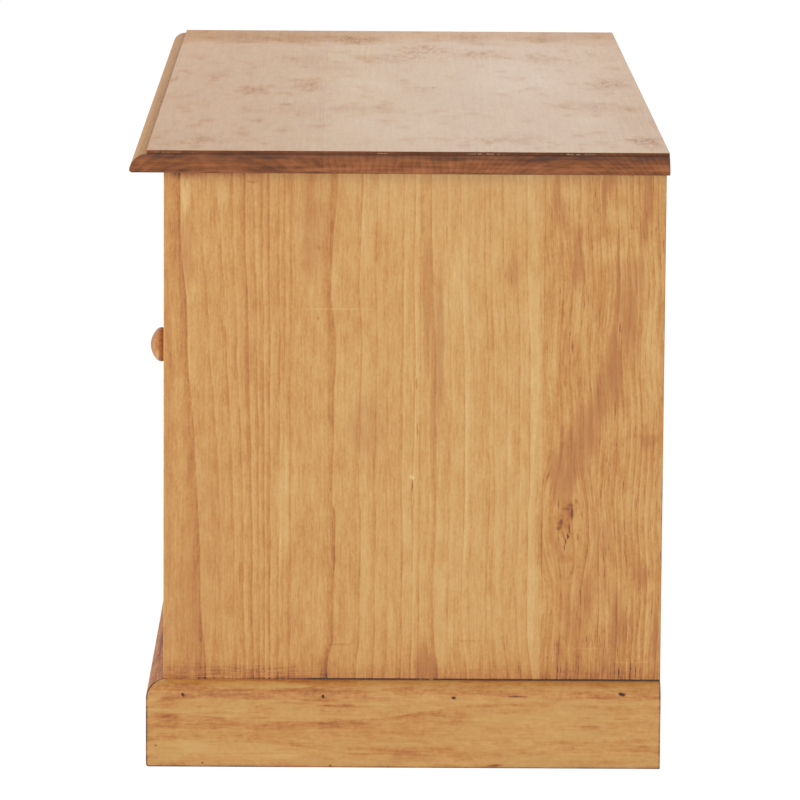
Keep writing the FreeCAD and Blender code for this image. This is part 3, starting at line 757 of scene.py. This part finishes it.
specks = smooth(clouds(top_place, (6, 2.2, 9), 83, 2), 0.35, 0.9) * 0.13
streaked = smooth(clouds(top_place, (160, 50, 9), 86), -0.2, 0.5)
streaks = clouds(top_place, (220, 2.4, 9), 84, 3) * streaked * 0.11
far_end = smooth(top_along + clouds(top_place, (60, 40, 9), 85) * 40, -380, -520)
broad = clouds(top_place, (160, 60, 40), 87, 3)
rear_edge = smooth(top_deep + broad * 12, 165, 218)
near_edge = smooth(top_out, 562, 569) * near(top_deep, -30, 120, 60)
# Darker towards the rear edge and near the middle of each end.
edge_darkening = rear_edge * 0.03 + near_edge * 0.06
on_top = smudges + specks + streaks + far_end * 0.07 + broad * 0.05 + edge_darkening + 0.02
rubbed_bright = smooth(top_deep + broad * 40, -210, 110) * 0.38 + 0.42
sheen = rubbed_bright - far_end * 0.38 - smudges * 2.8 - rear_edge * 0.16

# The ends show the rings of each board: nearly flat in the first, upright in the second and arched in
# the third. Each heart is given by its place across and up, by how far apart its rings are and by how
# dark they are. The cutter has drawn the wax along the end.
top_hearts = ((-150, 425, 6.5, 0.24), (-640, 505, 6.2, 0.30), (138, 464, 4.2, 0.26))
end_wander = clouds(top_place, (60, 24, 20), 71, 3) * 3.5
end_depth = clouds(top_place, (60, 50, 2.8), 72, 4) * 0.42
end_depth += clouds(top_place, (60, 12, 5), 73, 4) * 0.32
for index, (heart_across, heart_up, spacing, dark) in enumerate(top_hearts):
    sideways = top_deep + end_wander - heart_across
    upward = top_high - heart_up
    turn = (apart(sideways, upward) / spacing).maths("FRACT")
    on_board = top_deep.maths("GREATER_THAN", top_edges[index])
    on_board *= top_deep.maths("LESS_THAN", top_edges[index + 1])
    ring = turn.maths("POWER", 1.5) * smooth(turn, 1.0, 0.8) - 0.3
    end_depth += ring * on_board * dark
second_board = smooth(top_deep, -70, -55) * smooth(top_deep, 62, 55)
end_depth = end_depth - second_board * 0.12 + 0.45
end_depth += smooth(top_high, 516.8, 520) * (smooth(top_deep, -90, -40) * 0.18 + 0.14)
dark_patch = near(top_deep, -112, 26, 12) * smooth(top_high, 516.5, 513.5)
end_depth += dark_patch * 0.28
end_tones = ((0.0, linear(170, 106, 64)), (0.5, linear(134, 78, 42)), (1.0, linear(82, 44, 24)))
end_pine = end_depth.node("ValToRGB", {"stops": end_tones}, {0: end_depth})
# Painted shade and dirt lie in the quirk and beside it, and in four places painted glints light the edge of
# the quirk.
flecks = smooth(clouds(top_place, (14, 3, 3), 88, 4), 0.15, 0.9)
front_quirk = on_front * smooth(top_deep, -215, -212.4) * (flecks * 0.5 + 0.4)
quirk_shade_and_dirt = on_end * smooth(top_out, 575, 571.6) + front_quirk
quirk_shade_and_dirt *= 1 - smooth(top_high, 521.8, 522.6) * 0.35
quirk_shade_and_dirt *= 1 - smooth(top_deep, -125, -165) * 0.45
glint_lengths = ((-189, 24), (-14, 5), (72, 17), (146, 19))
glint_places = [(deep, 523, reach, 9, 1.0) for deep, reach in glint_lengths]
quirk_glints = smooth(clouds(top_place, (30, 2.6, 30), 74, 3), -0.05, 0.25)
quirk_glints *= marks_on(top_deep, top_high, glint_places)
quirk_glints *= smooth(top_high, 522.3, 522.6) * smooth(top_high, 523.3, 523)
top_depth += on_flat * on_top + on_front * (flecks * 0.22 + 0.07)
top_colour = blended(on_flat * 0.3, pine_colour(top_depth), linear(200, 160, 92))
top_colour = blended(on_front * (0.46 - flecks * 0.3), top_colour, linear(196, 164, 126))
top_colour = blended(on_end, top_colour, end_pine)
# The painted shade and dirt of the quirk, then the painted glints on its edge.
top_colour = blended(quirk_shade_and_dirt * 0.68, top_colour, linear(98, 58, 34))
top_colour = blended(quirk_shade_and_dirt * quirk_glints * 0.8, top_colour, linear(222, 200, 172))
waxed_over(top_pine, top_shader, top_depth, colour=top_colour)
top_rough = on_flat * (-0.14 - sheen * 0.10) + 0.66
top_rough.feed(top_shader, "Roughness")
top_coat = (on_flat * sheen * 0.70).maths("MAXIMUM", 0.0)
top_coat.feed(top_shader, "Coat Weight")
top.data.materials.append(top_pine)


# Back: nine matched boards, thinner and paler than the rest, tongued together and nailed at head and
# foot. The middle one has two holes for cables.
back_start = -548
back_pitch = 121.78
back_face = side_rear
back_count = 9


def back_finish(name, seed, low):
    """One back board's finish, darker in the bevels of its two edges."""
    edges = (low, low + back_pitch)
    material, shader, place, depth = plain_pine(
        name, "xyz", back_face, edges, seed, spacing=8.5, heart=34, lean=0.06, tone=0.45
    )
    from_middle = (measures(place)[0] - (low + back_pitch / 2)).maths("ABSOLUTE")
    bevels = smooth(from_middle, back_pitch / 2 - 0.99, back_pitch / 2 - 0.29)
    return waxed_over(material, shader, depth + bevels * 0.30)


for index in range(back_count):
    low = back_start + index * back_pitch
    dress(back_finish(f"back board {index + 1} pine", 41 + index, low), f"back_board_{index + 1}")


# Nails of the back: two low round heads in each board at the floor and the rear rail, and at the centre
# shelf where it is behind the board.
def steel_finish(name, colour, roughness):
    """Plain steel, faintly uneven where it has been handled."""
    material, shader, place = waxed(name, roughness)
    cast = clouds(place, (5, 5, 5), 3, 3)
    dulled = [part - 14 for part in colour]
    shade = blended(cast * 0.5 + 0.5, linear(*dulled), linear(*colour))
    shade.feed(shader, "Base Color")
    wear = clouds(place, (2, 2, 9), 7, 3) * 0.08 + roughness
    wear.feed(shader, "Roughness")
    shader.inputs["Metallic"].default_value = 1.0
    return material


def placed_copies(model, name, places, facing, body, material):
    """Copies of a small model that points along +Z, turned to face a way and joined as one piece."""
    bpy.ops.object.select_all(action="DESELECT")
    turn = Vector(facing).to_track_quat("Z", "Y").to_matrix().to_4x4()
    for place in places:
        part = bpy.data.objects.new(name, model.data.copy())
        part.data.transform(Matrix.Translation(Vector(place) / 1000) @ turn)
        scene.collection.objects.link(part)
        part.select_set(True)
        bpy.context.view_layer.objects.active = part
    bpy.ops.object.join()
    joined = bpy.context.view_layer.objects.active
    joined.name = name
    joined.data.materials.clear()
    joined.data.materials.append(material)
    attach(joined, body)
    return joined


def round_head(radius, height, sides):
    """Low round head on the XY plane, its rim bevelled, modelled at the origin."""
    bpy.ops.mesh.primitive_cylinder_add(
        vertices=sides, radius=radius, depth=height * 2, location=(0.0, 0.0, 0.0)
    )
    head = bpy.context.object
    bpy.ops.object.mode_set(mode="EDIT")
    shape = bmesh.from_edit_mesh(head.data)
    for face in shape.faces:
        face.select_set(face.normal.z > 0.9)
    shape.select_flush_mode()
    bmesh.update_edit_mesh(head.data)
    bpy.ops.mesh.bevel(offset=height * 0.7, segments=3, affect="EDGES")
    bpy.ops.object.mode_set(mode="OBJECT")
    bpy.ops.object.shade_smooth_by_angle(angle=math.radians(40))
    return head


nail = round_head(0.0017, 0.0005, 14)
nail_steel = steel_finish("nail steel", (120, 112, 104), 0.5)
floor_nails, shelf_nails, rail_nails = 72, 271, 488
shelf_half = 170
nail_places = []
for index in range(back_count):
    for part in (0.2, 0.8):
        nail_x = back_start + (index + part) * back_pitch
        heights = [floor_nails, rail_nails]
        if abs(nail_x) < shelf_half:
            heights.insert(1, shelf_nails)
        nail_places += [(nail_x, back_face, height) for height in heights]
placed_copies(nail, "back_nails", nail_places, (0.0, 1.0, 0.0), "cabinet", nail_steel)
bpy.data.objects.remove(nail)


# Shelves: the centre one is housed in the dividers, and each cupboard has a loose one on bearers.
shelf_edges = (-160, -30, 90, back_seat)
shelf_top = 280
for name, seed, tone in (("centre_shelf", 51, 0.50), ("shelf_right", 52, 0.49), ("shelf_left", 53, 0.51)):
    dress(grained(f"{name} pine", "yzx", shelf_top, shelf_edges, seed, tone=tone), name)
dress(grained("bearer pine", "zxy", 200, (244, 262), 54, spacing=5), "shelf_bearers")


# Doors: stiles and rails mortised and tenoned round a fielded panel that floats in a groove.
hands = (("right", 1.0), ("left", -1.0))
door_face = -193.5
panel_face = -190
hinge_stile = (482, 537)
lock_stile = (193.7, 248.7)
between_stiles = (lock_stile[1], hinge_stile[0])
top_rail = (412, 467)
bottom_rail = (83, 148)
rail_cut = {"spacing": 6.5, "heart": 60, "lean": 0.03}
panel_cut = {"spacing": 9, "heart": 26, "lean": 0.07, "tone": 0.53}
upright_pieces = (
    ("hinge_stile", door_face, hinge_stile, 61, rail_cut),
    ("lock_stile", door_face, lock_stile, 65, rail_cut),
    ("panel", panel_face, between_stiles, 77, panel_cut),
)
for hand, side in hands:
    for piece, face, edges, seed, cut in upright_pieces:
        mirrored = tuple(sorted(side * edge for edge in edges))
        pine = grained(f"{hand} door {piece} pine", "xyz", face, mirrored, seed + side, **cut)
        dress(pine, f"door_{hand}_{piece}")
    for piece, edges, seed in (("top_rail", top_rail, 69), ("bottom_rail", bottom_rail, 73)):
        pine = grained(f"{hand} door {piece} pine", "zyx", door_face, edges, seed + side, **rail_cut)
        dress(pine, f"door_{hand}_{piece}")


# Knobs: turned from darker pine, with a domed front and a narrow neck, and glued into the stiles.
# Each ring of the profile is given by how far it stands out of the door and by its radius.
knob_rings = (
    (2, 8.1), (5, 9), (8.5, 10.8), (11.5, 12.9), (13.8, 14.6), (15.4, 15.3), (16.8, 15.5),
    (18.4, 15.1), (20, 14.1), (21.6, 12.5), (23.2, 10.3), (24.6, 7.5), (25.6, 4.4), (26.05, 1.6),
)
knob_x = 221.17
knob_z = 311.6
knob_heart_z = 290
knob_foot = 8
knob_pine, knob_shader, knob_place = waxed("knob pine", 0.45)
knob_shader.inputs["Coat Weight"].default_value = 0.28
knob_along, knob_out, knob_high = measures(knob_place)
knob_side = knob_along.maths("ABSOLUTE") - knob_x
knob_up = knob_high - knob_heart_z
from_heart = apart(knob_side, knob_up)
from_heart += clouds(knob_place, (20, 30, 20), 2)
knob_band = (from_heart / 4.5).maths("FRACT").maths("POWER", 2)
knob_depth = knob_band * 0.06 + clouds(knob_place, (1.6, 9, 1.6), 4, 4) * 0.13 + 0.72
from_axis = apart(knob_side, knob_high - knob_z)
# Painted shade towards the neck, at the tip of the dome and round the widest ring.
knob_depth += smooth(knob_out, -201, -198.6) * 0.16 + smooth(knob_out, -217.4, -219.4) * 0.14
knob_depth += smooth(from_axis, 14.4, 15.4) * 0.08
# Two pale places, painted highlights.
knob_highlights = ((-213.4, 13.5, 2.4, 6, -0.30), (-216, 22, 1.4, 7, -0.12))
knob_depth += marks_on(knob_out, knob_up, knob_highlights)
waxed_over(knob_pine, knob_shader, knob_depth)
for hand, side in hands:
    knob_seat = Vector((side * knob_x, door_face, knob_z)) / 1000
    bpy.ops.mesh.primitive_circle_add(
        vertices=40,
        radius=knob_foot / 1000,
        fill_type="NGON",
        location=knob_seat,
        rotation=(math.pi / 2, 0.0, 0.0),
    )
    knob = bpy.context.object
    knob.name = f"knob_turned_{hand}"
    bpy.ops.object.transform_apply(location=False, rotation=True, scale=False)
    bpy.ops.object.mode_set(mode="EDIT")
    reached = 0.0
    wide = knob_foot
    for height, radius in knob_rings:
        step = (0.0, (reached - height) / 1000, 0.0)
        bpy.ops.mesh.extrude_region_move(TRANSFORM_OT_translate={"value": step})
        ring_middle = knob_seat + Vector((0.0, -height / 1000, 0.0))
        bpy.ops.transform.resize(value=(radius / wide,) * 3, center_override=ring_middle)
        reached = height
        wide = radius
    bpy.ops.mesh.select_all(action="SELECT")
    bpy.ops.mesh.normals_make_consistent(inside=False)
    bpy.ops.object.mode_set(mode="OBJECT")
    bpy.ops.object.transform_apply(location=True, rotation=True, scale=True)
    bpy.ops.object.shade_smooth_by_angle(angle=math.radians(50))
    knob.data.materials.clear()
    knob.data.materials.append(knob_pine)
    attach(knob, f"door_{hand}")
    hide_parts(f"knob_{hand}")


# Hinges: steel butts let into the side and the door's edge, two to a door, with slotted screws.
hinge_steel = steel_finish("hinge steel", (168, 163, 152), 0.38)
dress(hinge_steel, "hinge_plates_right", "hinge_plates_left", "hinge_flaps_right", "hinge_flaps_left")


def slotted_screw(radius, height):
    """Round screw head with a slot across it."""
    head = round_head(radius, height, 18)
    bpy.ops.mesh.primitive_cube_add(size=1.0, location=(0.0, 0.0, height))
    cutter = bpy.context.object
    cutter.scale = (radius * 3, radius * 0.28, height * 1.2)
    bpy.context.view_layer.objects.active = head
    slot = head.modifiers.new("slot", "BOOLEAN")
    slot.operation = "DIFFERENCE"
    slot.solver = "EXACT"
    slot.object = cutter
    bpy.ops.object.modifier_apply(modifier="slot")
    bpy.data.objects.remove(cutter)
    return head


hinge_screw = slotted_screw(0.0024, 0.0003)
screw_steel = steel_finish("screw steel", (150, 144, 132), 0.42)
side_leaf = 539
door_leaf = 537
hinge_bottoms = (128, 382)
leaf_holes = ((6.5, -180), (20, -185.5), (33.5, -180))
for hand, side in hands:
    on_side = []
    on_door = []
    for bottom in hinge_bottoms:
        for rise, y in leaf_holes:
            on_side.append((side * side_leaf, y, bottom + rise))
            on_door.append((side * door_leaf, y, bottom + rise))
    inward = (-side, 0.0, 0.0)
    outward = (side, 0.0, 0.0)
    placed_copies(hinge_screw, f"hinge_screws_side_{hand}", on_side, inward, "cabinet", screw_steel)
    placed_copies(hinge_screw, f"hinge_screws_door_{hand}", on_door, outward, f"door_{hand}", screw_steel)
bpy.data.objects.remove(hinge_screw)


# Catches: a brown plastic housing on each divider with a magnet in it, and a steel strike plate on
# the door, all screwed on.
catch_plastic, catch_shader, catch_place = waxed("catch plastic", 0.5)
catch_cast = clouds(catch_place, (3, 3, 3), 5, 3)
catch_shade = blended(catch_cast * 0.5 + 0.5, linear(88, 58, 42), linear(104, 72, 54))
catch_shade.feed(catch_shader, "Base Color")
catch_skin = clouds(catch_place, (0.5, 0.5, 0.5), 6)
catch_relief = catch_skin.node("Bump", {}, {"Height": catch_skin, "Strength": 0.2, "Distance": 0.0001})
catch_relief.feed(catch_shader, "Normal")
dress(catch_plastic, "catch_housings")
dress(steel_finish("magnet steel", (92, 92, 94), 0.55), "catch_magnets")
dress(steel_finish("strike steel", (176, 172, 164), 0.35), "strike_plate_right", "strike_plate_left")
catch_screw = slotted_screw(0.0026, 0.0006)
strike_screw = slotted_screw(0.0015, 0.0003)
housing_holes = (425.5, 458.5)
strike_holes = (428.2, 455.8)
for hand, side in hands:
    on_housing = [(side * 207.67, -163.7, height) for height in housing_holes]
    outward = (side, 0.0, 0.0)
    placed_copies(catch_screw, f"catch_screws_{hand}", on_housing, outward, "cabinet", screw_steel)
    on_strike = [(side * 199.67, -172.3, height) for height in strike_holes]
    rearward = (0.0, 1.0, 0.0)
    placed_copies(strike_screw, f"strike_screws_{hand}", on_strike, rearward, f"door_{hand}", screw_steel)
bpy.data.objects.remove(catch_screw)
bpy.data.objects.remove(strike_screw)


# Screws through the battens that hold the top down.
batten_screw = slotted_screw(0.0035, 0.0006)
batten_places = [(side * 529, y, 487) for side in (1.0, -1.0) for y in (-140, 10, 160)]
placed_copies(batten_screw, "batten_screws", batten_places, (0.0, 0.0, -1.0), "cabinet", screw_steel)
bpy.data.objects.remove(batten_screw)
